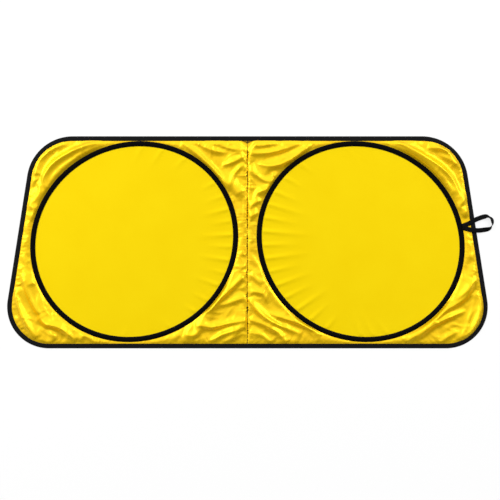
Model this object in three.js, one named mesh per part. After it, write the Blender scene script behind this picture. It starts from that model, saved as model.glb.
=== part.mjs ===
// Pop-up windscreen sunshade, lying opened out on a flat surface, front face up.
// Millimetres, +Z up, +X along the long side, +Y towards the shorter long edge.
// The origin is on the surface, on the centre seam, halfway between the two long edges.

import * as THREE from 'three';

// Outline of the opened shade, a symmetric trapezoid with rounded corners
const topLength = 1336;
const bottomLength = 1544;
const height = 662;
const topCornerRadius = 144;
const bottomCornerRadius = 130;

// Outer edge tape, folded over the fabric all round
const edgeTapeWidth = 14.8;
const edgeTapeGrip = 6;
const edgeTapeRoom = 2;

// Tape and fabric stock
const tapeThickness = 0.7;
const fabricThickness = 0.5;
const clearance = 0.3;

// Ring tape, the sewn casing of each spring ring
const ringTapeWidth = 16.4;
const ringTapeSeam = 1.4;
const ringTapeGrip = 4.2;
const ringTilt = THREE.MathUtils.degToRad(29);
const ringToTopTape = 0.4;
const ringToBottomTape = 4.8;
const ringToSideTape = 26.2;
const ringToSeam = 28.2;

// Spring steel wire in each ring, its ends butted in a crimped ferrule
const wireDiameter = 2;
const wireEndGap = 0.6;
const ferruleWall = 0.4;
const ferruleLength = 20;
const jointAngle = THREE.MathUtils.degToRad(-87);

// Centre seam and the tape under it
const seamTapeWidth = 12;
const seamGap = 0.3;
const seamTapeSteps = 6;

// Storage loop, a flat strap sewn in beside the right ring
const loopWidth = 14.8;
const loopThickness = 1.1;
const loopReach = 98;
const loopSpread = 38;
const loopAngle = THREE.MathUtils.degToRad(10.1);
const loopStepWidth = 5;
const loopStepMargin = 2;
const loopDropWidth = 26;
const loopDropMargin = 3;
const loopRingOverlap = 1.5;
const loopRingRamp = 8;

// Where the returning end of the strap climbs on the starting one, as shares of its length
const loopStackStart = 0.7;
const loopStackRun = 0.15;

// Slack of the loose fabric between the rings and the edge. It grows with the width of the
// band: there is none up to the narrow width, and all of it from the full one.
const foldHeight = 13;
const foldWidth = 19;
const foldFullBand = 50;
const puckerHeight = 4.5;
const puckerCount = 11;
const finePuckerCount = 17;
const finePuckerShare = 0.7;
const puckerNarrowBand = 8;
const puckerFullBand = 68;
const flatMargin = 1.5;

// Short puckers of the taut fabric along the side of each ring next to the seam
const discPuckerHeight = 1.6;
const discPuckerCount = 9;
const discPuckerCrest = 22;
const discPuckerReach = 75;
const discPuckerFade = 0.35;
const discPuckerBias = 0.9;

// Facets
const ringSteps = 60;
const cornerSteps = 8;
const seamSideSteps = 30;
const outerSideSteps = 50;
const radialSteps = 7;
const wireSides = 6;
const ferruleSides = 10;
const loopSteps = 44;
const foldSamples = 14;
const reachTolerance = 1e-6;
const mergeScale = 1e5;

// Levels above the surface: both tapes grip the fabric in a slot at the same level
const slotBottom = tapeThickness;
const fabricBottom = slotBottom + clearance;
const fabricTop = fabricBottom + fabricThickness;
const slotTop = fabricTop + clearance;
const edgeTapeTop = slotTop + tapeThickness;
const ferruleBore = wireDiameter + 2 * clearance;
const ferruleDiameter = ferruleBore + 2 * ferruleWall;
const channelHeight = ferruleDiameter + 2 * clearance;
const channelTop = slotBottom + channelHeight;
const ringTapeTop = channelTop + tapeThickness;
const wireLevel = slotBottom + channelHeight / 2;

// Colours and finishes
const yellowDisc = new THREE.MeshStandardMaterial({ color: 0xf7da0c, roughness: 0.5, metalness: 0 });
const yellowSurround = new THREE.MeshStandardMaterial({ color: 0xf0b800, roughness: 0.35, metalness: 0.2 });
const blackTape = new THREE.MeshStandardMaterial({ color: 0x171717, roughness: 0.8, metalness: 0 });
const blackStrap = new THREE.MeshStandardMaterial({ color: 0x0e0e0e, roughness: 0.75, metalness: 0 });
const springSteel = new THREE.MeshStandardMaterial({ color: 0x9a9da1, roughness: 0.3, metalness: 1 });
const ferruleSteel = new THREE.MeshStandardMaterial({ color: 0xb4b6b8, roughness: 0.4, metalness: 1 });

// The straight sides of the right half as outward normals and distances from the origin
const slant = Math.atan2(bottomLength - topLength, 2 * height);
const sideNormal = new THREE.Vector2(Math.cos(slant), Math.sin(slant));
const sideDistance = sideNormal.x * (topLength + bottomLength) / 4;

function cornerCentre(radius, up) {
  const y = up * (height / 2 - radius);
  return new THREE.Vector2((sideDistance - radius - sideNormal.y * y) / sideNormal.x, y);
}

const topCorner = cornerCentre(topCornerRadius, 1);
const bottomCorner = cornerCentre(bottomCornerRadius, -1);

// How far a point of the right half lies inside the outline, negative outside it
function depthInside(x, y) {
  const point = new THREE.Vector2(x, y);
  const corners = [
    { centre: topCorner, radius: topCornerRadius, up: 1 },
    { centre: bottomCorner, radius: bottomCornerRadius, up: -1 },
  ];
  for (const { centre, radius, up } of corners) {
    const arm = point.clone().sub(centre);
    const pastSide = up * (arm.y * sideNormal.x - arm.x * sideNormal.y) > 0;
    if (arm.x > 0 && pastSide) {
      return radius - arm.length();
    }
  }
  return Math.min(height / 2 - Math.abs(y), sideDistance - point.dot(sideNormal));
}

// Ring ellipse: its half width and half height follow from the gaps that it keeps
const tapeInside = height - 2 * edgeTapeWidth;
const ringHalfHeight = (tapeInside - ringToTopTape - ringToBottomTape) / 2;
const ringY = (ringToBottomTape - ringToTopTape) / 2;
const sideInside = (sideDistance - edgeTapeWidth - sideNormal.y * ringY) / sideNormal.x;
const ringHalfWidth = (sideInside - ringToSideTape - ringToSeam) / 2;
const ringX = ringToSeam + ringHalfWidth;
const cosSquared = Math.cos(ringTilt) ** 2;
const sinSquared = Math.sin(ringTilt) ** 2;
const longAxis = Math.sqrt(
  (ringHalfWidth ** 2 * cosSquared - ringHalfHeight ** 2 * sinSquared) / (cosSquared - sinSquared));
const shortAxis = Math.sqrt(
  (ringHalfHeight ** 2 * cosSquared - ringHalfWidth ** 2 * sinSquared) / (cosSquared - sinSquared));

// Point of the right ring at a turn round the ellipse, set in from the outer edge of its tape
function ringPoint(turn, inset) {
  const along = (longAxis - inset) * Math.cos(turn);
  const across = (shortAxis - inset) * Math.sin(turn);
  const cos = Math.cos(-ringTilt);
  const sin = Math.sin(-ringTilt);
  return new THREE.Vector2(ringX + along * cos - across * sin, ringY + along * sin + across * cos);
}

// Distance from the ring's centre to the same inset line in a direction
function ringReach(angle, inset) {
  const turned = angle + ringTilt;
  return 1 / Math.hypot(Math.cos(turned) / (longAxis - inset), Math.sin(turned) / (shortAxis - inset));
}

// Distance from the ring's centre to a line inside the outline, or to one beside the seam
function outlineReach(angle, inset, besideSeam) {
  const cos = Math.cos(angle);
  const sin = Math.sin(angle);
  let near = 0;
  let far = bottomLength;
  while (far - near > reachTolerance) {
    const middle = (near + far) / 2;
    const x = ringX + middle * cos;
    const inside = x > besideSeam && depthInside(x, ringY + middle * sin) > inset;
    if (inside) {
      near = middle;
    } else {
      far = middle;
    }
  }
  return near;
}

// Joins a row of cross-sections into one closed solid. Points that coincide are merged, and each
// facet is split along its shorter diagonal, so that both faces of thin fabric are split alike.
function loft(sections, closed) {
  const positions = [];
  const indices = [];
  const known = new Map();
  const vertex = (point) => {
    const key = point.toArray().map((value) => Math.round(value * mergeScale)).join();
    if (!known.has(key)) {
      known.set(key, positions.length / 3);
      positions.push(point.x, point.y, point.z);
    }
    return known.get(key);
  };
  const rows = sections.map((section) => section.map(vertex));
  const face = (a, b, c) => {
    if (a !== b && b !== c && c !== a) {
      indices.push(a, b, c);
    }
  };
  const bands = closed ? rows.length : rows.length - 1;
  for (let i = 0; i < bands; i += 1) {
    const next = (i + 1) % rows.length;
    const from = rows[i];
    const to = rows[next];
    for (let j = 0; j < from.length; j += 1) {
      const k = (j + 1) % from.length;
      const rising = sections[i][j].distanceTo(sections[next][k]);
      const falling = sections[next][j].distanceTo(sections[i][k]);
      if (rising < falling) {
        face(from[j], to[j], to[k]);
        face(from[j], to[k], from[k]);
      } else {
        face(from[j], to[j], from[k]);
        face(to[j], to[k], from[k]);
      }
    }
  }
  if (!closed) {
    const first = rows[0];
    const last = rows[rows.length - 1];
    for (let j = 1; j < first.length - 1; j += 1) {
      face(first[0], first[j], first[j + 1]);
      face(last[0], last[j + 1], last[j]);
    }
  }
  const geometry = new THREE.BufferGeometry();
  geometry.setAttribute('position', new THREE.Float32BufferAttribute(positions, 3));
  geometry.setIndex(indices);
  return facingOut(geometry);
}

// Turns the faces of a closed solid outwards
function facingOut(geometry) {
  const position = geometry.getAttribute('position');
  const index = Array.from(geometry.getIndex().array);
  const corner = (i) => new THREE.Vector3().fromBufferAttribute(position, index[i]);
  let volume = 0;
  for (let i = 0; i < index.length; i += 3) {
    volume += corner(i).dot(corner(i + 1).cross(corner(i + 2)));
  }
  if (volume < 0) {
    index.reverse();
  }
  geometry.setIndex(index);
  geometry.computeVertexNormals();
  return geometry;
}

// The left half is the right half mirrored in the seam
function mirrored(geometry) {
  const other = geometry.clone().scale(-1, 1, 1);
  return facingOut(other);
}

// Soft bump of one height at zero distance, level with the sheet at its width
function bump(distance, width) {
  const share = Math.min(Math.abs(distance) / width, 1);
  return (1 + Math.cos(Math.PI * share)) / 2;
}

// Smooth step from 0 to 1
function ease(value) {
  return THREE.MathUtils.smoothstep(value, 0, 1);
}

// Folds of the loose fabric, seen on the right half. Each runs through three places, given as
// the direction in degrees from the ring's centre and the share of the way from ring to edge,
// and has a height and a width as a share of the full ones.
const leftFolds = [
  { name: 'lower outer', through: [[-21, 0.83], [-33, 0.68], [-45, 0.86]], high: 1, wide: 1.1 },
  { name: 'lower middle', through: [[-14, 0.45], [-28, 0.36], [-41, 0.3]], high: 0.9, wide: 1 },
  { name: 'lower toe', through: [[-43, 0.42], [-49, 0.3], [-61, 0.74]], high: 0.8, wide: 0.9 },
  { name: 'lower heel', through: [[-46, 0.58], [-51, 0.66], [-57, 0.9]], high: 0.6, wide: 0.7 },
  { name: 'shoulder', through: [[31, 0.82], [43, 0.7], [56, 0.84]], high: 1, wide: 1 },
  { name: 'along the ring', through: [[38, 0.16], [54, 0.3], [69, 0.8]], high: 1, wide: 1 },
  { name: 'tuck', through: [[26, 0.86], [30, 0.6], [31, 0.2]], high: 0.5, wide: 0.7 },
  { name: 'seam foot', through: [[-130, 0.24], [-139, 0.42], [-145, 0.86]], high: 0.8, wide: 0.8 },
  { name: 'seam sole', through: [[-128, 0.84], [-135, 0.72], [-142, 0.9]], high: 0.5, wide: 0.6 },
  { name: 'seam rise', through: [[-137, 0.1], [-149, 0.25], [-163, 0.6]], high: 0.7, wide: 0.7 },
  { name: 'seam dart', through: [[-150, 0.46], [-153, 0.68], [-156, 0.9]], high: 0.4, wide: 0.6 },
  { name: 'seam head', through: [[124, 0.8], [133, 0.68], [141, 0.88]], high: 0.7, wide: 0.8 },
  { name: 'seam neck', through: [[125, 0.36], [135, 0.24], [145, 0.3]], high: 0.6, wide: 0.7 },
  { name: 'seam nick', through: [[151, 0.38], [149, 0.6], [147, 0.9]], high: 0.4, wide: 0.6 },
];
const rightFolds = [
  { name: 'upper outer', through: [[67, 0.72], [47, 0.64], [27, 0.88]], high: 1, wide: 1.1 },
  { name: 'upper along the ring', through: [[58, 0.26], [42, 0.22], [26, 0.4]], high: 0.8, wide: 0.9 },
  { name: 'side spot', through: [[19, 0.4], [22, 0.66], [25, 0.84]], high: 0.5, wide: 0.6 },
  { name: 'lower across', through: [[-50, 0.26], [-37, 0.36], [-20, 0.6]], high: 1, wide: 1 },
  { name: 'lower toe', through: [[-54, 0.86], [-45, 0.7], [-36, 0.6]], high: 0.8, wide: 0.8 },
  { name: 'lower side', through: [[-41, 0.86], [-33, 0.76], [-24, 0.84]], high: 0.7, wide: 0.8 },
  { name: 'seam head', through: [[143, 0.8], [135, 0.44], [124, 0.64]], high: 0.8, wide: 0.8 },
  { name: 'seam neck', through: [[148, 0.86], [145, 0.5], [140, 0.14]], high: 0.6, wide: 0.7 },
  { name: 'seam nick', through: [[155, 0.84], [151, 0.44], [146, 0.2]], high: 0.5, wide: 0.6 },
  { name: 'seam crown', through: [[139, 0.9], [135, 0.8], [128, 0.9]], high: 0.4, wide: 0.5 },
  { name: 'seam foot', through: [[-152, 0.84], [-142, 0.56], [-125, 0.44]], high: 0.8, wide: 0.8 },
  { name: 'seam sole', through: [[-138, 0.8], [-132, 0.84], [-126, 0.9]], high: 0.5, wide: 0.5 },
  { name: 'seam dart', through: [[-160, 0.84], [-154, 0.5], [-146, 0.22]], high: 0.4, wide: 0.6 },
];

// Visible width of the loose fabric in a direction, and a point at a share of it
function visibleBand(angle) {
  const from = ringReach(angle, 0);
  const to = outlineReach(angle, edgeTapeWidth, seamGap / 2);
  return { from, to: Math.max(to, from) };
}

function bandPoint(degrees, share) {
  const angle = THREE.MathUtils.degToRad(degrees);
  const { from, to } = visibleBand(angle);
  const reach = THREE.MathUtils.lerp(from, to, share);
  return new THREE.Vector3(ringX + reach * Math.cos(angle), ringY + reach * Math.sin(angle), 0);
}

function drawFold({ through, high, wide }) {
  const places = through.map(([degrees, share]) => bandPoint(degrees, share));
  const line = new THREE.CatmullRomCurve3(places, false, 'centripetal').getPoints(foldSamples);
  return { line, height: high * foldHeight, width: wide * foldWidth };
}

// Height of one fold over a point: a rounded ridge that tapers out at both ends
function foldRise({ line, height: top, width }, x, y) {
  const place = new THREE.Vector3(x, y, 0);
  let rise = 0;
  for (let i = 0; i < line.length - 1; i += 1) {
    const stretch = new THREE.Line3(line[i], line[i + 1]);
    const share = stretch.closestPointToPointParameter(place, true);
    const distance = stretch.at(share, new THREE.Vector3()).distanceTo(place);
    const taper = Math.sin(Math.PI * THREE.MathUtils.clamp((i + share + 1) / (foldSamples + 2), 0, 1));
    rise = Math.max(rise, top * Math.sqrt(taper) * bump(distance, width));
  }
  return rise;
}

// Storage loop, seen from above: shares of its reach and spread from where it is sewn on the
// ring tape, and how far the strap is rolled over there, in degrees
const loopRoot = ringPoint(loopAngle + ringTilt, loopRingOverlap);
const loopRoute = [
  { along: 0, side: 0.05, roll: 0 },
  { along: 0.24, side: 0.31, roll: 0 },
  { along: 0.4, side: 0.56, roll: 4 },
  { along: 0.68, side: 0.83, roll: 12 },
  { along: 0.86, side: 0.8, roll: 64 },
  { along: 0.95, side: 0.56, roll: 42 },
  { along: 0.96, side: 0.36, roll: 48 },
  { along: 0.94, side: 0.11, roll: 76 },
  { along: 0.86, side: -0.14, roll: 40 },
  { along: 0.7, side: -0.24, roll: 10 },
  { along: 0.48, side: -0.29, roll: 0 },
  { along: 0.25, side: -0.23, roll: 0 },
  { along: 0, side: -0.05, roll: 0 },
];

// Level that carries the strap: the ring tape, the fabric, the edge tape, then the surface past
// the edge
function loopLevel(x, y) {
  const depth = depthInside(x, y);
  const reach = Math.hypot(x - ringX, y - ringY);
  const beyondRing = reach - ringReach(Math.atan2(y - ringY, x - ringX), 0);
  const onRing = ease((loopRingRamp - beyondRing) / loopRingRamp);
  const onTape = ease((edgeTapeWidth + loopStepWidth + loopStepMargin - depth) / loopStepWidth);
  const past = ease((-depth - loopDropMargin) / loopDropWidth);
  const besideRing = THREE.MathUtils.lerp(fabricTop, ringTapeTop, onRing);
  const inside = THREE.MathUtils.lerp(besideRing, edgeTapeTop, onTape);
  return THREE.MathUtils.lerp(inside, 0, past) + clearance;
}

function loopPlace({ along, side }) {
  return new THREE.Vector2(loopRoot.x + along * loopReach, loopRoot.y + side * loopSpread);
}

// Loose fabric lies flat where the strap runs over it
function clearOfLoop(x, y) {
  let nearest = Infinity;
  for (const stop of loopRoute) {
    nearest = Math.min(nearest, loopPlace(stop).distanceTo(new THREE.Vector2(x, y)));
  }
  return ease((nearest - 2 * loopWidth) / loopWidth);
}

// Height of the puckers over a point of the band. Midway between the ring and the edge they are
// half as high as along the two.
function puckerRise(angle, share, width, phase) {
  const slack = ease((width - puckerNarrowBand) / (puckerFullBand - puckerNarrowBand));
  const alongEdges = 1 - 2 * share * (1 - share);
  const coarse = Math.sin(puckerCount * angle + phase);
  const fine = finePuckerShare * Math.sin(finePuckerCount * angle + 2 * phase);
  return puckerHeight * slack * alongEdges * Math.abs(coarse + fine);
}

// One loose panel between a ring, the outline and the seam, with its folds and puckers
function surroundPanel(foldList, phase, underLoop) {
  const folds = foldList.map(drawFold);
  const edgeInset = edgeTapeWidth - edgeTapeGrip;
  const seamCorner = (up) => {
    return Math.atan2(up * (height / 2 - edgeInset) - ringY, seamGap / 2 - ringX);
  };
  const topAngle = seamCorner(1);
  const bottomAngle = seamCorner(-1) + 2 * Math.PI;
  const angles = [];
  for (let i = 0; i < seamSideSteps; i += 1) {
    angles.push(THREE.MathUtils.lerp(topAngle, bottomAngle, i / seamSideSteps));
  }
  for (let i = 0; i < outerSideSteps; i += 1) {
    angles.push(THREE.MathUtils.lerp(bottomAngle, topAngle + 2 * Math.PI, i / outerSideSteps));
  }
  const sections = angles.map((angle) => {
    const { from, to } = visibleBand(angle);
    const middle = (from + to) / 2;
    const seamFlat = seamGap / 2 + flatMargin;
    const inner = Math.min(from + flatMargin, middle);
    const flatOutline = outlineReach(angle, edgeTapeWidth + flatMargin, seamFlat);
    const outer = Math.max(flatOutline, middle + clearance);
    const reaches = [ringReach(angle, ringTapeGrip - flatMargin)];
    for (let i = 0; i <= radialSteps; i += 1) {
      reaches.push(THREE.MathUtils.lerp(inner, outer, i / radialSteps));
    }
    reaches.push(outlineReach(angle, edgeInset, seamGap / 2));
    const top = reaches.map((reach, row) => {
      const x = ringX + reach * Math.cos(angle);
      const y = ringY + reach * Math.sin(angle);
      let rise = 0;
      if (row > 1 && row < radialSteps + 1) {
        const ridges = Math.hypot(...folds.map((fold) => foldRise(fold, x, y)));
        const pucker = puckerRise(angle, (row - 1) / radialSteps, to - from, phase);
        rise = ridges * ease((to - from) / foldFullBand) + pucker;
        rise *= underLoop ? clearOfLoop(x, y) : 1;
      }
      return new THREE.Vector3(x, y, fabricTop + rise);
    });
    const under = top.map((point) => point.clone().setZ(point.z - fabricThickness));
    return [...top, ...under.reverse()];
  });
  return loft(sections, true);
}

// One taut panel inside a ring. It is pulled into short puckers on the side next to the seam.
function discPanel(phase) {
  const edgeInset = ringTapeWidth - ringTapeGrip;
  const rows = [
    { inset: edgeInset, level: 0 },
    { inset: ringTapeWidth + flatMargin, level: 0 },
    { inset: ringTapeWidth + discPuckerCrest, level: 1 },
    { inset: ringTapeWidth + discPuckerReach, level: discPuckerFade },
  ];
  const sections = [];
  for (let i = 0; i < ringSteps; i += 1) {
    const turn = 2 * Math.PI * i / ringSteps;
    const towardsSeam = ease(0.5 - discPuckerBias * Math.cos(turn - ringTilt));
    const wave = (1 + Math.cos(Math.PI * i + phase) * Math.cos(discPuckerCount * turn)) / 2;
    const top = rows.map(({ inset, level }) => {
      const { x, y } = ringPoint(turn, inset);
      return new THREE.Vector3(x, y, fabricTop + discPuckerHeight * level * towardsSeam * wave);
    });
    top.push(new THREE.Vector3(ringX, ringY, fabricTop));
    const under = top.map((point) => point.clone().setZ(point.z - fabricThickness));
    sections.push([...top, ...under.reverse()]);
  }
  return loft(sections, true);
}

// Casing of one ring: a folded tape with a channel for the wire and a slot on each side, one
// for the taut panel and one for the loose panel. Insets run from the outer edge inwards.
const channelOuter = ringTapeGrip + ringTapeSeam;
const channelInner = channelOuter + channelHeight;
const wireInset = channelOuter + channelHeight / 2;

function ringTape() {
  const lipTop = slotTop + tapeThickness;
  const profile = [
    [0, 0],
    [0, slotBottom],
    [ringTapeGrip, slotBottom],
    [ringTapeGrip, slotTop],
    [0, slotTop],
    [0, lipTop],
    [channelOuter - tapeThickness / 2, ringTapeTop],
    [channelInner + tapeThickness / 2, ringTapeTop],
    [ringTapeWidth, lipTop],
    [ringTapeWidth, slotTop],
    [channelInner, slotTop],
    [channelInner, channelTop],
    [channelOuter, channelTop],
    [channelOuter, slotBottom],
    [ringTapeWidth, slotBottom],
    [ringTapeWidth, 0],
  ];
  const sections = [];
  for (let i = 0; i < ringSteps; i += 1) {
    const turn = 2 * Math.PI * i / ringSteps;
    sections.push(profile.map(([inset, level]) => {
      const { x, y } = ringPoint(turn, inset);
      return new THREE.Vector3(x, y, level);
    }));
  }
  return loft(sections, true);
}

// The wire joint lies in the middle of a straight facet, so that the ferrule is straight
const facetTurn = 2 * Math.PI / ringSteps;
const jointFacet = Math.floor((jointAngle + ringTilt) / facetTurn);

function ringVertex(step) {
  const { x, y } = ringPoint(step * facetTurn, wireInset);
  return new THREE.Vector3(x, y, wireLevel);
}

function ringWire() {
  const before = ringVertex(jointFacet);
  const after = ringVertex(jointFacet + 1);
  const middle = before.clone().add(after).divideScalar(2);
  const halfGap = after.clone().sub(before).setLength(wireEndGap / 2);
  const route = [middle.clone().add(halfGap)];
  for (let i = 1; i <= ringSteps; i += 1) {
    route.push(ringVertex(jointFacet + i));
  }
  route.push(middle.clone().sub(halfGap));
  const sections = route.map((point, i) => {
    const back = route[Math.max(i - 1, 0)];
    const ahead = route[Math.min(i + 1, route.length - 1)];
    const along = ahead.clone().sub(back).normalize();
    const across = new THREE.Vector3(-along.y, along.x, 0);
    const section = [];
    for (let j = 0; j < wireSides; j += 1) {
      const around = 2 * Math.PI * j / wireSides;
      const corner = across.clone().multiplyScalar(Math.cos(around) * wireDiameter / 2);
      corner.z = Math.sin(around) * wireDiameter / 2;
      section.push(corner.add(point));
    }
    return section;
  });
  return loft(sections, false);
}

// Ferrule: a short tube crimped over both ends of the wire
function ringFerrule() {
  const profile = [
    new THREE.Vector2(ferruleBore / 2, -ferruleLength / 2),
    new THREE.Vector2(ferruleDiameter / 2, -ferruleLength / 2),
    new THREE.Vector2(ferruleDiameter / 2, ferruleLength / 2),
    new THREE.Vector2(ferruleBore / 2, ferruleLength / 2),
  ];
  const before = ringVertex(jointFacet);
  const after = ringVertex(jointFacet + 1);
  const middle = before.clone().add(after).divideScalar(2);
  const along = after.clone().sub(before).normalize();
  const turn = new THREE.Quaternion().setFromUnitVectors(new THREE.Vector3(0, 1, 0), along);
  const sections = [];
  for (let i = 0; i < ferruleSides; i += 1) {
    const around = 2 * Math.PI * i / ferruleSides;
    sections.push(profile.map((corner) => {
      const point = new THREE.Vector3(corner.x * Math.cos(around), corner.y, corner.x * Math.sin(around));
      return point.applyQuaternion(turn).add(middle);
    }));
  }
  return loft(sections, true);
}

// Edge tape: one folded tape round the whole outline, open towards the fabric
function edgeTape() {
  const fold = tapeThickness;
  const slotEnd = edgeTapeWidth - edgeTapeGrip - edgeTapeRoom;
  const profile = [
    [edgeTapeWidth, 0],
    [edgeTapeWidth, slotBottom],
    [slotEnd, slotBottom],
    [slotEnd, slotTop],
    [edgeTapeWidth, slotTop],
    [edgeTapeWidth, edgeTapeTop],
    [fold, edgeTapeTop],
    [0, edgeTapeTop - fold],
    [0, fold],
    [fold, 0],
  ];
  const stations = [];
  const addCorner = (centre, radius, from, to, side) => {
    for (let i = 0; i <= cornerSteps; i += 1) {
      const angle = THREE.MathUtils.lerp(from, to, i / cornerSteps);
      const outward = new THREE.Vector2(side * Math.cos(angle), Math.sin(angle));
      const middle = new THREE.Vector2(side * centre.x, centre.y);
      stations.push({ middle, radius, outward });
    }
  };
  const quarter = Math.PI / 2;
  addCorner(bottomCorner, bottomCornerRadius, -quarter, slant, 1);
  addCorner(topCorner, topCornerRadius, slant, quarter, 1);
  addCorner(topCorner, topCornerRadius, quarter, slant, -1);
  addCorner(bottomCorner, bottomCornerRadius, slant, -quarter, -1);
  return loft(stations.map(({ middle, radius, outward }) => profile.map(([inset, level]) => {
    const place = middle.clone().addScaledVector(outward, radius - inset);
    return new THREE.Vector3(place.x, place.y, level);
  })), true);
}

// Seam tape: a flat strip under the seam, between the two runs of the edge tape
function seamTape() {
  const length = height - 2 * edgeTapeWidth - 2 * clearance;
  const geometry = new THREE.BoxGeometry(seamTapeWidth, length, tapeThickness, 1, seamTapeSteps, 1);
  return geometry.translate(0, 0, tapeThickness / 2);
}

// Storage loop: one flat strap, its ends stacked where they are sewn in
function storageLoop() {
  const plan = new THREE.CatmullRomCurve3(
    loopRoute.map((stop) => new THREE.Vector3(loopPlace(stop).x, loopPlace(stop).y, stop.roll)),
    false, 'centripetal');
  const sections = [];
  for (let i = 0; i <= loopSteps; i += 1) {
    const share = i / loopSteps;
    const point = plan.getPoint(share);
    const along = plan.getTangent(share).setZ(0).normalize();
    const across = new THREE.Vector3(-along.y, along.x, 0);
    const roll = THREE.MathUtils.degToRad(point.z);
    const reachUp = loopWidth / 2 * Math.sin(roll) + loopThickness / 2 * Math.cos(roll);
    const stacked = ease((share - loopStackStart) / loopStackRun) * (loopThickness + clearance);
    const level = loopLevel(point.x, point.y) + reachUp + stacked;
    const flat = across.clone().multiplyScalar(Math.cos(roll)).setZ(Math.sin(roll));
    const thin = across.clone().multiplyScalar(-Math.sin(roll)).setZ(Math.cos(roll));
    const middle = new THREE.Vector3(point.x, point.y, level);
    const corners = [[-1, -1], [1, -1], [1, 1], [-1, 1]];
    sections.push(corners.map(([wide, up]) => middle.clone()
      .addScaledVector(flat, wide * loopWidth / 2)
      .addScaledVector(thin, up * loopThickness / 2)));
  }
  return loft(sections, false);
}

function addPiece(group, name, geometry, material) {
  const mesh = new THREE.Mesh(geometry, material);
  mesh.name = name;
  group.add(mesh);
}

const sunshade = new THREE.Group();
const discs = { left: discPanel(1.1), right: discPanel(0) };
const surrounds = { left: surroundPanel(leftFolds, 0.6, false), right: surroundPanel(rightFolds, 2.3, true) };
for (const side of ['left', 'right']) {
  const onSide = side === 'left' ? mirrored : (geometry) => geometry;
  addPiece(sunshade, `${side}_disc_panel`, onSide(discs[side]), yellowDisc);
  addPiece(sunshade, `${side}_surround_panel`, onSide(surrounds[side]), yellowSurround);
  addPiece(sunshade, `${side}_ring_tape`, onSide(ringTape()), blackTape);
  addPiece(sunshade, `${side}_ring_wire`, onSide(ringWire()), springSteel);
  addPiece(sunshade, `${side}_ring_ferrule`, onSide(ringFerrule()), ferruleSteel);
}
addPiece(sunshade, 'edge_tape', edgeTape(), blackTape);
addPiece(sunshade, 'centre_seam_tape', seamTape(), blackTape);
addPiece(sunshade, 'storage_loop', storageLoop(), blackStrap);

export default sunshade;
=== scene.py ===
import math

import bmesh
import bpy
import numpy as np
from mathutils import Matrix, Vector, geometry, noise


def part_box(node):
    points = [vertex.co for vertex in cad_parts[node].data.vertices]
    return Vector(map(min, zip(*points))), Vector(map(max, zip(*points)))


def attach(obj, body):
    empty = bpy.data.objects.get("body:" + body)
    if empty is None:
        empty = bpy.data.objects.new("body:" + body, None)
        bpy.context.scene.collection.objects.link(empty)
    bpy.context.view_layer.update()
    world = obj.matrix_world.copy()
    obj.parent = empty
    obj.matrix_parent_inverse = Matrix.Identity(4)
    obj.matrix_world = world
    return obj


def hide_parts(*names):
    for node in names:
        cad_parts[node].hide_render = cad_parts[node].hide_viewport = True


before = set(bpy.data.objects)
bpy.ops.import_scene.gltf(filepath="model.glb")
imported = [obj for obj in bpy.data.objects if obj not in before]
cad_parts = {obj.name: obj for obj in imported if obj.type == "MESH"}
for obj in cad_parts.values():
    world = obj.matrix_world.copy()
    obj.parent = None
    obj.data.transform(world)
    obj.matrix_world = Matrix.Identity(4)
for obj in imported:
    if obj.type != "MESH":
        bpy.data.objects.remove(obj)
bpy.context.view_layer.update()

scene = bpy.context.scene
scene.view_settings.view_transform = "Standard"

# Camera: straight above the opened shade, far enough off that its perspective is as flat as the
# photo's. The picture's middle lies a little to the right of the seam and below mid-height.
camera_height = 4.0
picture_width = 1.561
picture_middle = (0.008, -0.024)
film_width = 36
bpy.ops.object.camera_add(location=(*picture_middle, camera_height), rotation=(0, 0, 0))
camera = bpy.context.object
camera.name = "camera"
camera.data.sensor_width = film_width
camera.data.lens = film_width * camera_height / picture_width
scene.camera = camera

# Floor: a plain white surface under the shade. What the camera sees of it is nearly all its own
# white, so the shade's soft shadow stays on it but no lamp has to be turned up for the white.
floor_size = 30
floor_drop = 0.0004
floor_white = 0.9
shadow_share = 0.22


class Finish:
    """One material or world, its nodes added by type and linked by the names of their sockets."""

    def __init__(self, owner):
        owner.use_nodes = True
        self.owner = owner
        self.tree = owner.node_tree

    def node(self, kind, settings=(), inputs=(), output=0):
        made = self.tree.nodes.new(kind)
        for name, value in dict(settings).items():
            setattr(made, name, value)
        for name, value in dict(inputs).items():
            self.feed(made.inputs[name], value)
        return Amount(self, made.outputs[output]) if made.outputs else None

    def feed(self, socket, value):
        if isinstance(value, Amount):
            self.tree.links.new(value.socket, socket)
        else:
            socket.default_value = value

    def ramp(self, factor, *stops, smooth=False):
        """A colour or grey ramp through (place, colour) stops."""
        made = self.tree.nodes.new("ShaderNodeValToRGB")
        made.color_ramp.interpolation = "EASE" if smooth else "LINEAR"
        elements = made.color_ramp.elements
        while len(elements) < len(stops):
            elements.new(0.5)
        for element, (place, colour) in zip(elements, stops):
            element.position = place
            element.color = colour if isinstance(colour, tuple) else (colour, colour, colour, 1)
        self.feed(made.inputs["Fac"], factor)
        return Amount(self, made.outputs["Color"])

    def mix(self, factor, first, second):
        """Mixes two colours."""
        made = self.tree.nodes.new("ShaderNodeMix")
        made.data_type = "RGBA"
        colours = [socket for socket in made.inputs if socket.type == "RGBA"]
        self.feed(made.inputs[0], factor)
        self.feed(colours[0], first)
        self.feed(colours[1], second)
        return Amount(self, next(socket for socket in made.outputs if socket.type == "RGBA"))


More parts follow.
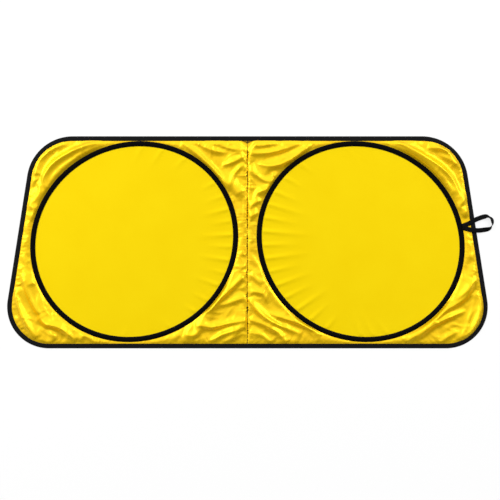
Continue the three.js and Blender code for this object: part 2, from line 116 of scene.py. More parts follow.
class Amount:
    """A number over a surface, written with ordinary arithmetic."""

    def __init__(self, finish, socket):
        self.finish = finish
        self.socket = socket

    def join(self, operation, *values):
        return self.finish.node("ShaderNodeMath", {"operation": operation}, enumerate(values))

    def __add__(self, other):
        return self.join("ADD", self, other)

    __radd__ = __add__

    def __sub__(self, other):
        return self.join("SUBTRACT", self, other)

    def __rsub__(self, other):
        return self.join("SUBTRACT", other, self)

    def __mul__(self, other):
        return self.join("MULTIPLY", self, other)

    __rmul__ = __mul__


def clear_selection():
    bpy.ops.object.select_all(action="DESELECT")


def pick(*pieces):
    """Selects pieces, the last one active."""
    clear_selection()
    for piece in pieces:
        piece.select_set(True)
    bpy.context.view_layer.objects.active = pieces[-1]
    return pieces[-1]


clear_selection()
bpy.ops.mesh.primitive_plane_add(size=floor_size, location=(0, 0, -floor_drop))
floor = bpy.context.object
floor.name = "floor"
bpy.ops.object.transform_apply(location=True)
floor_finish = Finish(bpy.data.materials.new("floor_paper"))
floor_finish.tree.nodes.clear()
paper = floor_finish.node("ShaderNodeBsdfDiffuse", {}, {"Color": (*[floor_white] * 3, 1)})
bright = floor_finish.node("ShaderNodeEmission", {}, {"Color": (1, 1, 1, 1), "Strength": 1})
seen = floor_finish.node("ShaderNodeLightPath", output="Is Camera Ray")
mirrored_ray = floor_finish.node("ShaderNodeLightPath", output="Is Glossy Ray")
share = seen.join("MAXIMUM", seen, mirrored_ray) * (1 - shadow_share)
floor_finish.node("ShaderNodeOutputMaterial", {}, {"Surface": floor_finish.node(
    "ShaderNodeMixShader", {}, {0: share, 1: paper, 2: bright})})
floor.data.materials.append(floor_finish.owner)

# Light: a pale room, brighter towards the shorter long edge, and two soft lamps above the upper
# left and upper right, the left one stronger. The discs fall off a little to the lower right, and
# the folds catch long soft highlights.
room_light = 1.4
room_brighter_x = -0.25
room_brighter_y = 0.9
room_levels = [(0.2, 0.12), (0.42, 0.36), (0.5, 0.56), (0.6, 0.86), (0.8, 1)]
key_light = {"place": (-2.1, 1.3, 1.9), "aim": (-0.3, 0, 0), "size": 1.4, "power": 36}
side_light = {"place": (2.1, 1.3, 1.9), "aim": (0.3, 0, 0), "size": 1.4, "power": 28}
room = Finish(bpy.data.worlds.new("pale_room"))
scene.world = room.owner
room.tree.nodes.clear()
looked_at = room.node("ShaderNodeLightPath", output="Is Camera Ray")
direction = room.node("ShaderNodeTexCoord", output="Generated")
sideways = room.node("ShaderNodeSeparateXYZ", {}, {"Vector": direction}, "X") * room_brighter_x
forward = room.node("ShaderNodeSeparateXYZ", {}, {"Vector": direction}, "Y") * room_brighter_y
brightness = room.ramp((sideways + forward) * 0.5 + 0.5, *room_levels, smooth=True)
strength = looked_at.join("MAXIMUM", looked_at, brightness * room_light)
room.node("ShaderNodeOutputWorld", {}, {"Surface": room.node("ShaderNodeBackground", {}, {
    "Color": (1, 1, 1, 1), "Strength": strength})})


def softbox(name, place, aim, size, power):
    bpy.ops.object.light_add(type="AREA", location=place)
    lamp = bpy.context.object
    lamp.name = name
    lamp.data.shape = "SQUARE"
    lamp.data.size = size
    lamp.data.energy = power
    towards = Vector(aim) - Vector(place)
    lamp.rotation_euler = towards.to_track_quat("-Z", "Y").to_euler()


softbox("key_light", **key_light)
softbox("side_light", **side_light)

# Spring rings: one round wire of spring steel in each casing, its ends butted in a crimped
# sleeve. Both are hidden in the tape, and keep the solids' own shape with a drawn-steel finish.
steel_grey = (0.42, 0.43, 0.45, 1)
steel_dark = (0.25, 0.25, 0.27, 1)


def finish_named(name):
    """A new material, its Principled shader kept and reached as .shader."""
    made = Finish(bpy.data.materials.new(name))
    made.shader = next(n for n in made.tree.nodes if n.type == "BSDF_PRINCIPLED")
    return made


def set_shader(finish, **values):
    for name, value in values.items():
        finish.feed(finish.shader.inputs[name.replace("_", " ")], value)


def emboss(finish, strength, distance, height):
    """Raises a pattern slightly on a surface."""
    set_shader(finish, Normal=finish.node("ShaderNodeBump", {}, {
        "Strength": strength, "Distance": distance, "Height": height}))


def drawn_steel(name, scratch_scale, roughness):
    steel = finish_named(name)
    place = steel.node("ShaderNodeTexCoord", output="Object")
    streaks = steel.node("ShaderNodeTexNoise", {}, {"Vector": place, "Scale": scratch_scale, "Detail": 4})
    set_shader(steel, Base_Color=steel.mix(streaks, steel_dark, steel_grey), Metallic=1.0,
               Roughness=streaks * 0.25 + roughness)
    emboss(steel, 0.3, 0.0001, streaks)
    return steel.owner


def dress(piece, material):
    piece.data.materials.clear()
    piece.data.materials.append(material)


wire_steel = drawn_steel("drawn_spring_steel", 900, 0.22)
sleeve_steel = drawn_steel("crimped_sleeve_steel", 350, 0.35)
for side in ("left", "right"):
    for node, steel in (("ring_wire", wire_steel), ("ring_ferrule", sleeve_steel)):
        dress(bpy.data.objects[f"{side}_{node}"], steel)

# Ring tapes: black woven tape folded over each spring ring and sewn through. It grips the taut
# fabric inside and the loose fabric outside, so its section has a slot on each side.
tape_thickness = 0.0007
slot_height = 0.0011
ring_tape_width = 0.0164
ring_tape_grip = 0.0042
ring_tape_web = 0.0014
ring_tilt = math.radians(29)
ring_low, ring_high = (Vector(corner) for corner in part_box("right_ring_tape"))
ring_middle = (ring_low + ring_high) / 2
ring_centre = np.array(ring_middle.xy)
side_sign = {"left": -1, "right": 1}
ring_top = ring_high.z
half_width = (ring_high.x - ring_low.x) / 2
half_height = (ring_high.y - ring_low.y) / 2
cos_squared = math.cos(ring_tilt) ** 2
sin_squared = math.sin(ring_tilt) ** 2
long_axis = math.sqrt((half_width ** 2 * cos_squared - half_height ** 2 * sin_squared)
                      / (cos_squared - sin_squared))
short_axis = math.sqrt((half_height ** 2 * cos_squared - half_width ** 2 * sin_squared)
                       / (cos_squared - sin_squared))
tape_corner = 0.0003
lip_round = 0.0004
channel_round = 0.0016
channel_roof = 0.0005
crown_inset = 0.0006
crown_drop = 0.0002
crown_fullness = 0.75
black_tape = (0.001, 0.001, 0.0011, 1)
grey_thread = (0.0035, 0.0035, 0.0038, 1)
weave_pitch = 0.0011


def threads(finish, place, direction, scale, distortion=0):
    """Fine parallel threads, as bands of light and dark."""
    return finish.node("ShaderNodeTexWave", {"wave_type": "BANDS", "bands_direction": direction},
                       {"Vector": place, "Scale": scale, "Distortion": distortion}, "Fac")


def woven_tape(name, dark, light, rough, shine):
    """Narrow woven tape: fine ribs across it and along it, from the strip's own map in metres."""
    tape = finish_named(name)
    across = tape.node("ShaderNodeUVMap", {"uv_map": "strip"})
    ribs = threads(tape, across, "X", 0.314 / weave_pitch, 0.6)
    lines = threads(tape, across, "Y", 0.2 / weave_pitch, 0.3)
    place = tape.node("ShaderNodeTexCoord", output="Object")
    worn = tape.node("ShaderNodeTexNoise", {}, {"Vector": place, "Scale": 60, "Detail": 5})
    weave = ribs * 0.6 + lines * 0.4
    set_shader(tape, Base_Color=tape.mix(weave * 0.5 + worn * 0.5, dark, light),
               Roughness=worn * 0.2 + rough - 0.1, Specular_IOR_Level=shine)
    emboss(tape, 0.5, 0.00012, weave)
    return tape.owner


ring_tape_cloth = woven_tape("ring_tape_weave", black_tape, grey_thread, 0.75, 0.025)


def add_object(name, data):
    made = bpy.data.objects.new(name, data)
    bpy.context.collection.objects.link(made)
    return made


def edit_all(piece, operation, **settings):
    """Runs one mesh operation over the whole of a piece."""
    pick(piece)
    bpy.ops.object.mode_set(mode="EDIT")
    bpy.ops.mesh.select_all(action="SELECT")
    operation(**settings)
    bpy.ops.object.mode_set(mode="OBJECT")


def strip_section(name, points):
    """The cross-section of a tape, as a closed flat curve: inset from the outer edge and height."""
    drawn = bpy.data.curves.new(name, "CURVE")
    drawn.dimensions = "2D"
    line = drawn.splines.new("POLY")
    line.points.add(len(points) - 1)
    for point, (inset, level) in zip(line.points, points):
        point.co = (inset, level, 0, 1)
    line.use_cyclic_u = True
    return add_object(name, drawn)


def sweep_strip(route, section, name, material):
    """Sweeps a section along a curve and keeps a map of the strip, its length and girth in metres."""
    route.data.dimensions = "3D"
    route.data.twist_mode = "Z_UP"
    route.data.bevel_mode = "OBJECT"
    route.data.bevel_object = section
    route.name = name
    length = sum(spline.calc_length() for spline in route.data.splines)
    corners = [Vector(point.co[:2]) for point in section.data.splines[0].points]
    girth = sum((a - b).length for a, b in zip(corners, corners[1:] + corners[:1]))
    pick(route)
    bpy.ops.object.convert(target="MESH")
    strip = bpy.context.object
    strip.name = name
    drawn = strip.data.uv_layers[0]
    drawn.name = "strip"
    for corner in drawn.data:
        corner.uv = (corner.uv[0] * length, corner.uv[1] * girth)
    edit_all(strip, bpy.ops.mesh.normals_make_consistent, inside=False)
    bpy.data.objects.remove(section)
    dress(strip, material)
    bpy.ops.object.shade_smooth_by_angle(angle=math.radians(50))
    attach(strip, "root")
    return strip


def ring_route(side, inset):
    """The line round a ring, set in from the outer edge of its tape."""
    bpy.ops.curve.primitive_bezier_circle_add(radius=1)
    route = bpy.context.object
    route.data.resolution_u = 96
    mirror = side_sign[side]
    route.scale = (long_axis - inset, short_axis - inset, 1)
    route.rotation_euler = (0, 0, -ring_tilt * mirror)
    route.location = (mirror * ring_middle.x, ring_middle.y, 0)
    bpy.ops.object.transform_apply(location=True, rotation=True, scale=True)
    for point in route.data.splines[0].bezier_points:
        point.radius = 1
    return route


channel_outer = ring_tape_grip + ring_tape_web
channel_height = ring_top - 2 * tape_thickness
channel_inner = channel_outer + channel_height
lip_top = 2 * tape_thickness + slot_height
slot_top = tape_thickness + slot_height


def ring_tape_points():
    """Section of the folded casing, rounded over the wire, flat below."""
    crown = []
    steps = 14
    for i in range(steps + 1):
        share = i / steps
        inset = crown_inset + share * (ring_tape_width - 2 * crown_inset)
        swell = math.sin(math.pi * share) ** crown_fullness
        crown.append((inset, lip_top - crown_drop + swell * (ring_top - lip_top + crown_drop)))
    return [
        (tape_corner, 0), (0, tape_corner), (0, tape_thickness), (ring_tape_grip, tape_thickness),
        (ring_tape_grip, slot_top), (0, slot_top), (0, lip_top - lip_round),
        *crown,
        (ring_tape_width, lip_top - lip_round), (ring_tape_width, slot_top), (channel_inner, slot_top),
        (channel_inner - 2 * tape_corner, channel_height),
        (channel_inner - channel_round, channel_height + channel_roof),
        (channel_outer + channel_round, channel_height + channel_roof),
        (channel_outer + tape_corner, channel_height), (channel_outer, tape_thickness),
        (ring_tape_width, tape_thickness), (ring_tape_width, tape_corner),
        (ring_tape_width - tape_corner, 0),
    ]


for side in side_sign:
    ring_tape = sweep_strip(ring_route(side, 0), strip_section("ring_section", ring_tape_points()),
                            f"{side}_ring_casing", ring_tape_cloth)
    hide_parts(f"{side}_ring_tape")

# Edge tape: one black woven tape folded over the raw edge of the fabric all round the outline
# and sewn through, rounded by the layers inside it.
edge_high = Vector(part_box("edge_tape")[1])
half_shade = edge_high.y
edge_top = edge_high.z
edge_tape_width = 0.0148
edge_tape_grip = 0.006
edge_tape_room = 0.002
edge_fold = 0.0006
edge_round = 0.0005
edge_swell = 0.0004
half_top_length = 0.668
half_bottom_length = 0.772
top_corner_radius = 0.144
bottom_corner_radius = 0.130
slant = math.atan2(half_bottom_length - half_top_length, 2 * half_shade)
side_distance = math.cos(slant) * (half_top_length + half_bottom_length) / 2
edge_black = (0.002, 0.002, 0.0022, 1)
edge_grey = (0.008, 0.008, 0.0085, 1)


def corner_centre(radius, up):
    level = up * (half_shade - radius)
    return np.array([(side_distance - radius - math.sin(slant) * level) / math.cos(slant), level])


top_corner = corner_centre(top_corner_radius, 1)
bottom_corner = corner_centre(bottom_corner_radius, -1)


def half_outline(inset, spacing):
    """Right half of the outline, from the bottom of the seam round to its top, evenly spaced."""
    arc_steps = 48
    line = [np.array([0, inset - half_shade])]
    for centre, radius, start, end in (
            (bottom_corner, bottom_corner_radius, -math.pi / 2, slant),
            (top_corner, top_corner_radius, slant, math.pi / 2)):
        for i in range(arc_steps + 1):
            angle = start + (end - start) * i / arc_steps
            line.append(centre + (radius - inset) * np.array([math.cos(angle), math.sin(angle)]))
    line.append(np.array([0, half_shade - inset]))
    line = np.array(line)
    walked = np.concatenate([[0], np.cumsum(np.linalg.norm(np.diff(line, axis=0), axis=1))])
    count = round(walked[-1] / spacing)
    stops = np.linspace(0, walked[-1], count + 1)
    return np.stack([np.interp(stops, walked, line[:, 0]), np.interp(stops, walked, line[:, 1])], axis=1)


def line_curve(name, points, cyclic):
    drawn = bpy.data.curves.new(name, "CURVE")
    line = drawn.splines.new("POLY")
    line.points.add(len(points) - 1)
    for point, place in zip(line.points, points):
        point.co = (*place, 1)
    line.use_cyclic_u = cyclic
    return add_object(name, drawn)


def outline_route(inset, spacing):
    right = half_outline(inset, spacing)
    left = right[-2:0:-1] * [-1, 1]
    clockwise = np.concatenate([right, left])[::-1]
    return line_curve("outline", [(x, y, 0) for x, y in clockwise], True)


def edge_tape_points():
    """Section of the folded edge tape: round at its fold, with a slot for the fabric."""
    crown = []
    steps = 12
    for i in range(steps + 1):
        share = i / steps
        level = (edge_top - edge_swell - edge_round * (1 - share) ** 4
                 + edge_swell * math.sin(math.pi * share))
        crown.append((share * (edge_tape_width - edge_round), level))
    slot_end = edge_tape_width - edge_tape_grip - edge_tape_room
    return [
        (edge_fold, 0), (edge_fold / 6, edge_fold), (0, edge_top / 2), *crown[1:],
        (edge_tape_width, edge_top - edge_fold), (edge_tape_width, slot_top), (slot_end, slot_top),
        (slot_end, tape_thickness), (edge_tape_width, tape_thickness), (edge_tape_width, tape_corner),
        (edge_tape_width - tape_corner, 0),
    ]


edge_cloth = woven_tape("edge_tape_weave", edge_black, edge_grey, 0.55, 0.06)
edge_tape = sweep_strip(outline_route(0, 0.006), strip_section("edge_section", edge_tape_points()),
                        "edge_binding", edge_cloth)
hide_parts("edge_tape")

# Taut discs: one round panel of coated taffeta in each ring, drawn tight by the steel. It shows
# only short gathers at the rim, most of them on the side next to the seam.
fabric_level = 0.00125
cloth_thickness = 0.0003
yellow_light = (0.83, 0.615, 0.003, 1)
yellow_deep = (0.79, 0.56, 0.001, 1)
yellow_shine = (1, 0.82, 0.12, 1)


def coated_taffeta(name, light, deep, tint, roughness, metallic, shine):
    """Plain-woven, coated yellow cloth with a satin face: fine threads, faint unevenness."""
    cloth = finish_named(name)
    place = cloth.node("ShaderNodeTexCoord", output="Object")
    cloudy = cloth.node("ShaderNodeTexNoise", {}, {"Vector": place, "Scale": 9, "Detail": 3})
    weave = threads(cloth, place, "X", 900) + threads(cloth, place, "Y", 900)
    fine = cloth.node("ShaderNodeTexNoise", {}, {"Vector": place, "Scale": 160, "Detail": 3})
    set_shader(cloth, Base_Color=cloth.mix(cloudy, light, deep), Metallic=metallic,
               Roughness=fine * 0.08 + roughness, Specular_IOR_Level=shine, Specular_Tint=tint)
    woven = cloth.node("ShaderNodeBump", {}, {"Strength": 0.04, "Distance": 0.00005, "Height": weave})
    set_shader(cloth, Normal=cloth.node("ShaderNodeBump", {}, {
        "Strength": 0.06, "Distance": 0.0004, "Height": fine, "Normal": woven}))
    return cloth.owner


disc_cloth = coated_taffeta("taut_yellow_taffeta", yellow_light, yellow_deep, yellow_shine,
                            0.45, 0.1, 0.2)


def ring_points(inset, count):
    turn = np.arange(count) * 2 * math.pi / count
    along = (long_axis - inset) * np.cos(turn)
    across = (short_axis - inset) * np.sin(turn)
    cos, sin = math.cos(-ring_tilt), math.sin(-ring_tilt)
    return np.stack([ring_middle.x + along * cos - across * sin,
                     ring_middle.y + along * sin + across * cos], axis=1)


def ring_depth(places):
    """How far points of the right half lie inside the outer edge of the ring tape."""
    cos, sin = math.cos(ring_tilt), math.sin(ring_tilt)
    apart = places - ring_centre
    along = apart[:, 0] * cos - apart[:, 1] * sin
    across = apart[:, 0] * sin + apart[:, 1] * cos
    reach = np.hypot(along, across)
    edge = reach / np.maximum(np.hypot(along / long_axis, across / short_axis), 1e-9)
    return edge - reach


# Gathers at the rim: direction from the disc's centre in degrees, length in mm, share of height
disc_gathers = {
    "left": [(-48, 45, 1.0), (-38, 60, 0.8), (-27, 90, 1.0), (-19, 70, 0.7), (-11, 110, 1.0),
             (-3, 90, 0.8), (4, 120, 1.0), (12, 80, 0.7), (19, 100, 1.0), (27, 70, 0.7), (36, 60, 0.8),
             (58, 60, 0.6), (72, 70, 0.7), (84, 60, 0.5), (-66, 40, 0.5), (-98, 40, 0.4)],
    "right": [(128, 60, 0.7), (140, 80, 0.9), (150, 100, 1.0), (158, 150, 0.9), (166, 120, 1.0),
              (174, 180, 1.0), (182, 130, 0.9), (190, 160, 1.0), (198, 110, 0.9), (207, 130, 1.1),
              (216, 110, 1.0), (226, 130, 1.2), (236, 90, 1.0), (247, 70, 0.8), (272, 80, 0.9),
              (279, 90, 0.9), (287, 70, 0.6), (100, 50, 0.4)],
}
gather_height = 0.0028
gather_width = 0.0075
gather_lean = 0.25
gather_narrow = 0.7
gather_widening = 0.5
gather_widens_over = 0.1
gather_taper = 1.4
gather_behind = 0.2
gather_start = 0.006
gather_zone = 0.15
plain_zone = 0.155
disc_depth = 0.295


def disc_panel(side):
    """The taut panel as rings of points, with each gather a ridge that fades towards the middle."""
    mirror = side_sign[side]
    rim = ring_tape_width - ring_tape_grip
    around = 420
    drawn_in = np.concatenate([np.linspace(0, gather_zone, 40),
                               np.linspace(plain_zone, disc_depth, 24)[1:]])
    places = [ring_points(rim + inset, around) for inset in drawn_in]
    flat = np.concatenate([*places, ring_centre[None, :]])
    depth = ring_depth(flat) - ring_tape_width
    apart = flat - ring_centre
    level = np.zeros(len(flat))
    for degrees, length, height in disc_gathers[side]:
        angle = math.radians(degrees if side == "right" else 180 - degrees)
        towards = np.array([math.cos(angle), math.sin(angle)])
        foot = towards * (long_axis + short_axis) / 2
        lean = towards * (1 - gather_lean) + np.array([math.copysign(gather_lean, towards[0]), 0])
        lean /= np.linalg.norm(lean)
        off = apart - foot
        sideways = off[:, 0] * lean[1] - off[:, 1] * lean[0]
        widened = gather_widening * np.clip(depth / gather_widens_over, 0, 1)
        width = gather_width * (gather_narrow + widened)
        fade = np.clip(1 - depth / (length * 0.001), 0, 1) ** gather_taper
        near = (off[:, 0] * lean[0] + off[:, 1] * lean[1]) > -gather_behind
        level += height * gather_height * np.exp(-(sideways / width) ** 2) * fade * near
    level *= np.clip(depth / gather_start, 0, 1)
    work = bmesh.new()
    points = [work.verts.new((mirror * x, y, fabric_level + z)) for (x, y), z in zip(flat, level)]
    for row in range(len(drawn_in) - 1):
        for i in range(around):
            j = (i + 1) % around
            work.faces.new([points[row * around + i], points[row * around + j],
                            points[(row + 1) * around + j], points[(row + 1) * around + i]])
    last = (len(drawn_in) - 1) * around
    for i in range(around):
        work.faces.new([points[last + i], points[last + (i + 1) % around], points[-1]])
    bmesh.ops.recalc_face_normals(work, faces=work.faces)
    if sum(face.normal.z for face in work.faces) < 0:
        bmesh.ops.reverse_faces(work, faces=work.faces)
    mesh = bpy.data.meshes.new(f"{side}_disc")
    work.to_mesh(mesh)
    work.free()
    return add_object(f"{side}_disc", mesh)


def add_modifier(piece, kind, **settings):
    bpy.ops.object.modifier_add(type=kind)
    for name, value in settings.items():
        setattr(piece.modifiers[-1], name, value)
    return piece.modifiers[-1]


def finish_sheet(sheet, material):
    """Gives a sheet its thickness and finish."""
    pick(sheet)
    solid = add_modifier(sheet, "SOLIDIFY", thickness=cloth_thickness, offset=0)
    bpy.ops.object.modifier_apply(modifier=solid.name)
    dress(sheet, material)
    bpy.ops.object.shade_smooth_by_angle(angle=math.radians(60))
    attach(sheet, "root")


disc_axes = [2 * (axis - ring_tape_width + ring_tape_grip) for axis in (long_axis, short_axis)]
for side in side_sign:
    disc = disc_panel(side)
    finish_sheet(disc, disc_cloth)
    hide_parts(f"{side}_disc_panel")
    math.pi / 4 * disc_axes[0] * disc_axes[1]

# Loose panels: one half of the outline each, cut with slack and sewn to the ring, the edge tape
# and the centre seam. The slack stands in folds, which a cloth simulation settles.
panel_spacing = 0.005
least_spacing = 0.6
least_band = 0.0005
ring_girth = 2.0
grip_room = 0.0012
hem_offset = 0.0006
slack_across = 0.035
slack_all_over = 0.002
slack_gathered = 0.02
gathered_reach = 0.014
fold_height = 0.0125
fold_broad = 0.028
fold_steep = 0.0085
fold_round = 0.0025
fold_taper = 0.6
fold_kept = 0.35
crease_broad = 0.012
crease_steep = 0.005
crumple_height = 0.003
crumple_pitch = 0.06
crumple_lowest = -0.2
crinkle_count = 120
crinkle_height = 0.0019
crinkle_width = 0.0065
crinkle_steep = crinkle_width * 0.4
crinkle_reach = (0.012, 0.04)
crinkle_bend = 0.3
crinkle_strength = (0.4, 1)
pucker_height = 0.0019
pucker_start = 0.002
pucker_lengths = {"seam": 0.015, "ring": 0.007, "edge": 0.010}
pucker_pitches = {"seam": 0.0085, "ring": 0.014, "edge": 0.0105}
pucker_drift = 4
drift_rate = 30
drift_row = 900
size_rate = 45
size_row = 700
pucker_share = 0.35
pucker_spread = 1.8
seam_gap = 0.0044
seam_gap_least = 0.03
seam_gap_reach = 0.003
pressed_by_strap = 0.025
pressed_by_tacks = 0.026
press_fade = 0.008
pinned_from = 0.9
cut_fade = 0.006
fold_fade = 0.008
tape_fade = 0.004
sewing_frames = 24
settle_frames = 40


def in_metres(folds):
    return [(high, steep_side, *[(x / 1000, y / 1000) for x, y in stops])
            for high, steep_side, *stops in folds]


# Folds of one half: height, steep flank (1 on the line's left, -1 on its right), then its crest's
# places in mm from the middle of the shade, with the left half measured outwards too.
left_folds = in_metres([
    (0.8, 1, (704, -96), (684, -160), (656, -212), (622, -250)),
    (1.2, 1, (650, -228), (629, -254), (586, -266), (534, -309)),
    (1.0, 1, (726, -140), (712, -200), (692, -252), (662, -302)),
    (0.5, -1, (648, -160), (638, -200), (612, -236)),
    (0.5, -1, (622, -268), (595, -304)),
    (0.4, 1, (692, -136), (660, -124)),
    (0.4, 1, (523, -310), (510, -292), (480, -300)),
    (1.1, -1, (644, 186), (612, 240), (532, 291), (448, 318)),
    (0.5, 0, (622, 180), (588, 226), (524, 270), (462, 302)),
    (0.4, 1, (668, 228), (645, 262), (601, 294), (560, 310)),
    (0.6, 1, (676, 214), (642, 212), (635, 180), (622, 162)),
    (0.5, 1, (682, 170), (654, 196), (648, 160), (664, 124)),
    (0.5, 1, (686, 120), (664, 100), (680, 70)),
    (0.6, 1, (160, 310), (106, 286), (42, 280)),
    (0.8, 1, (205, 312), (141, 261), (100, 214), (56, 160)),
    (0.5, 1, (106, 308), (59, 294), (10, 284)),
    (0.7, 1, (80, 240), (40, 252), (7, 272)),
    (0.6, 1, (56, 172), (38, 216), (10, 246)),
    (0.4, 1, (40, 146), (8, 166)),
    (0.9, 1, (128, -218), (71, -166), (14, -108)),
    (0.6, 1, (146, -226), (94, -200), (53, -190), (6, -170)),
    (1.0, 1, (164, -258), (112, -264), (59, -254), (4, -242)),
    (0.8, 1, (122, -308), (77, -289), (4, -263)),
    (0.6, 1, (200, -286), (164, -290), (142, -268)),
    (0.5, 1, (80, -314), (48, -300), (4, -282)),
])
right_folds = in_metres([
    (1.2, 1, (450, 318), (500, 297), (554, 267), (606, 231), (637, 199), (662, 150)),
    (0.6, 0, (480, 300), (531, 272), (592, 221), (636, 168), (657, 128)),
    (0.8, -1, (560, 296), (617, 288), (666, 256)),
    (0.5, -1, (592, 276), (643, 250), (682, 222)),
    (0.7, -1, (656, 104), (690, 150)),
    (0.6, -1, (672, 82), (694, 110)),
    (1.0, -1, (522, -304), (575, -262), (627, -236), (684, -212)),
    (0.9, -1, (544, -278), (617, -214), (679, -172), (714, -106)),
    (0.8, -1, (664, -310), (696, -284), (716, -248), (727, -200), (727, -160)),
    (0.5, -1, (660, -308), (680, -270), (698, -216), (714, -150)),
    (0.4, -1, (594, -316), (622, -296), (655, -280)),
    (0.8, -1, (640, -186), (684, -150), (706, -114)),
    (0.6, -1, (490, -314), (518, -295), (580, -252)),
    (0.6, -1, (6, 302), (52, 303), (104, 311)),
    (0.8, -1, (6, 276), (69, 280), (116, 291), (168, 310)),
    (1.0, -1, (24, 246), (87, 238), (139, 260), (200, 306)),
    (0.6, -1, (4, 234), (26, 212), (55, 192), (94, 190)),
    (0.7, -1, (22, 155), (63, 166), (88, 188)),
    (0.4, -1, (6, 104), (22, 122), (42, 131)),
    (0.4, -1, (4, 78), (36, 92)),
    (1.0, -1, (4, -176), (34, -217), (81, -250), (170, -288)),
    (0.8, -1, (44, -214), (104, -234), (168, -257), (234, -284)),
    (0.7, -1, (6, -242), (52, -258), (92, -281), (124, -314)),
    (0.5, -1, (6, -281), (46, -292), (81, -314)),
    (0.4, -1, (8, -96), (42, -133)),
    (0.6, -1, (6, -156), (45, -160), (65, -192)),
])
strap_root = np.array([0.668, 0.056])
strap_crossing = np.array([0.702, 0.062])
seam_top = np.array([0, half_shade - edge_tape_width])


def outline_depth(places):
    """How far points of the right half lie inside the outline."""
    x, y = places[:, 0], places[:, 1]
    depth = np.minimum(half_shade - np.abs(y), side_distance - x * math.cos(slant) - y * math.sin(slant))
    for centre, radius, up in (
            (top_corner, top_corner_radius, 1), (bottom_corner, bottom_corner_radius, -1)):
        apart = places - centre
        past = up * (apart[:, 1] * math.cos(slant) - apart[:, 0] * math.sin(slant)) > 0
        rounded = (apart[:, 0] > 0) & past
        depth = np.where(rounded, radius - np.linalg.norm(apart, axis=1), depth)
    return depth


def band_shares(places):
    """Direction from the ring, and the visible width from ring to edge tape or seam there."""
    apart = places - ring_centre
    angle = np.arctan2(apart[:, 1], apart[:, 0])
    towards = np.stack([np.cos(angle), np.sin(angle)], axis=1)
    near = np.zeros(len(places))
    far = np.full(len(places), 1.5)
    for _ in range(24):
        half = (near + far) / 2
        tried = ring_centre + towards * half[:, None]
        inside = (outline_depth(tried) > edge_tape_width) & (tried[:, 0] > 0)
        near = np.where(inside, half, near)
        far = np.where(inside, far, half)
    reach = np.linalg.norm(apart, axis=1)
    ring_edge = reach + ring_depth(places)
    return angle, ring_edge, np.maximum(near, ring_edge), reach


def pressed_flat(side, places):
    """1 under the storage loop and at the seam's tacked top end, fading to 0 around them."""
    run = strap_crossing - strap_root
    share = np.clip((places - strap_root) @ run / (run @ run), 0, 1)
    distance = np.linalg.norm(places - strap_root - share[:, None] * run, axis=1)
    under_strap = (side == "right") * np.clip((pressed_by_strap - distance) / press_fade, 0, 1)
    tacked = np.clip((pressed_by_tacks - np.linalg.norm(places - seam_top, axis=1)) / press_fade, 0, 1)
    return np.maximum(under_strap, tacked)


def through_stops(stops, steps):
    """A smooth curve through stops, evenly spread between them (centripetal Catmull-Rom)."""
    stops = np.array(stops, float)
    ends = [2 * stops[0] - stops[1], *stops, 2 * stops[-1] - stops[-2]]
    line = []
    for step in range(steps + 1):
        place = step / steps * (len(stops) - 1)
        i = min(int(place), len(stops) - 2)
        a, b, c, d = ends[i:i + 4]
        k0, k1, k2 = (np.linalg.norm(q - p) ** 0.5 for p, q in ((a, b), (b, c), (c, d)))
        first = ((b - a) / k0 - (c - a) / (k0 + k1) + (c - b) / k1) * k1
        last = ((c - b) / k1 - (d - b) / (k1 + k2) + (d - c) / k2) * k1
        t = place - i
        line.append(b * (2 * t ** 3 - 3 * t ** 2 + 1) + first * (t ** 3 - 2 * t ** 2 + t)
                    + c * (3 * t ** 2 - 2 * t ** 3) + last * (t ** 3 - t ** 2))
    return line


def fold_rise(places, folds, broad, steep):
    """Height of folds over points: a sharp crest that tapers at both ends, one flank broader."""
    total = np.zeros(len(places))
    for high, steep_side, *stops in folds:
        steps = 5 * (len(stops) - 1)
        line = through_stops(stops, steps)
        nearest = np.full(len(places), 9.0)
        flank = np.zeros(len(places))
        along = np.zeros(len(places))
        for i in range(steps):
            run = line[i + 1] - line[i]
            share = np.clip((places - line[i]) @ run / (run @ run), 0, 1)
            off = places - line[i] - share[:, None] * run
            distance = np.linalg.norm(off, axis=1)
            nearer = distance < nearest
            nearest = np.where(nearer, distance, nearest)
            flank = np.where(nearer, run[0] * off[:, 1] - run[1] * off[:, 0], flank)
            along = np.where(nearer, (i + share) / steps, along)
        width = np.where(flank * steep_side > 0, steep, broad)
        rounded = np.sqrt(nearest ** 2 + fold_round ** 2) - fold_round
        total += (high * np.sin(np.pi * along) ** fold_taper * np.exp(-rounded / width)) ** 2
    return np.sqrt(total)


def crinkles(seed):
    """Short creases scattered over the cloth, where it was folded and crushed when stowed."""
    chance = np.random.RandomState(seed)
    creases = []
    while len(creases) < crinkle_count:
        place = chance.uniform((0, -half_shade), (half_bottom_length, half_shade))
        turn = chance.uniform(0, math.pi)
        reach = chance.uniform(*crinkle_reach) * np.array([math.cos(turn), math.sin(turn)])
        bend = chance.uniform(-crinkle_bend, crinkle_bend) * np.array([-reach[1], reach[0]])
        probe = place[None, :]
        if outline_depth(probe)[0] > edge_tape_width and ring_depth(probe)[0] < 0:
            creases.append((chance.uniform(*crinkle_strength), chance.choice([-1, 1]),
                            place - reach, place + bend, place + reach))
    return creases


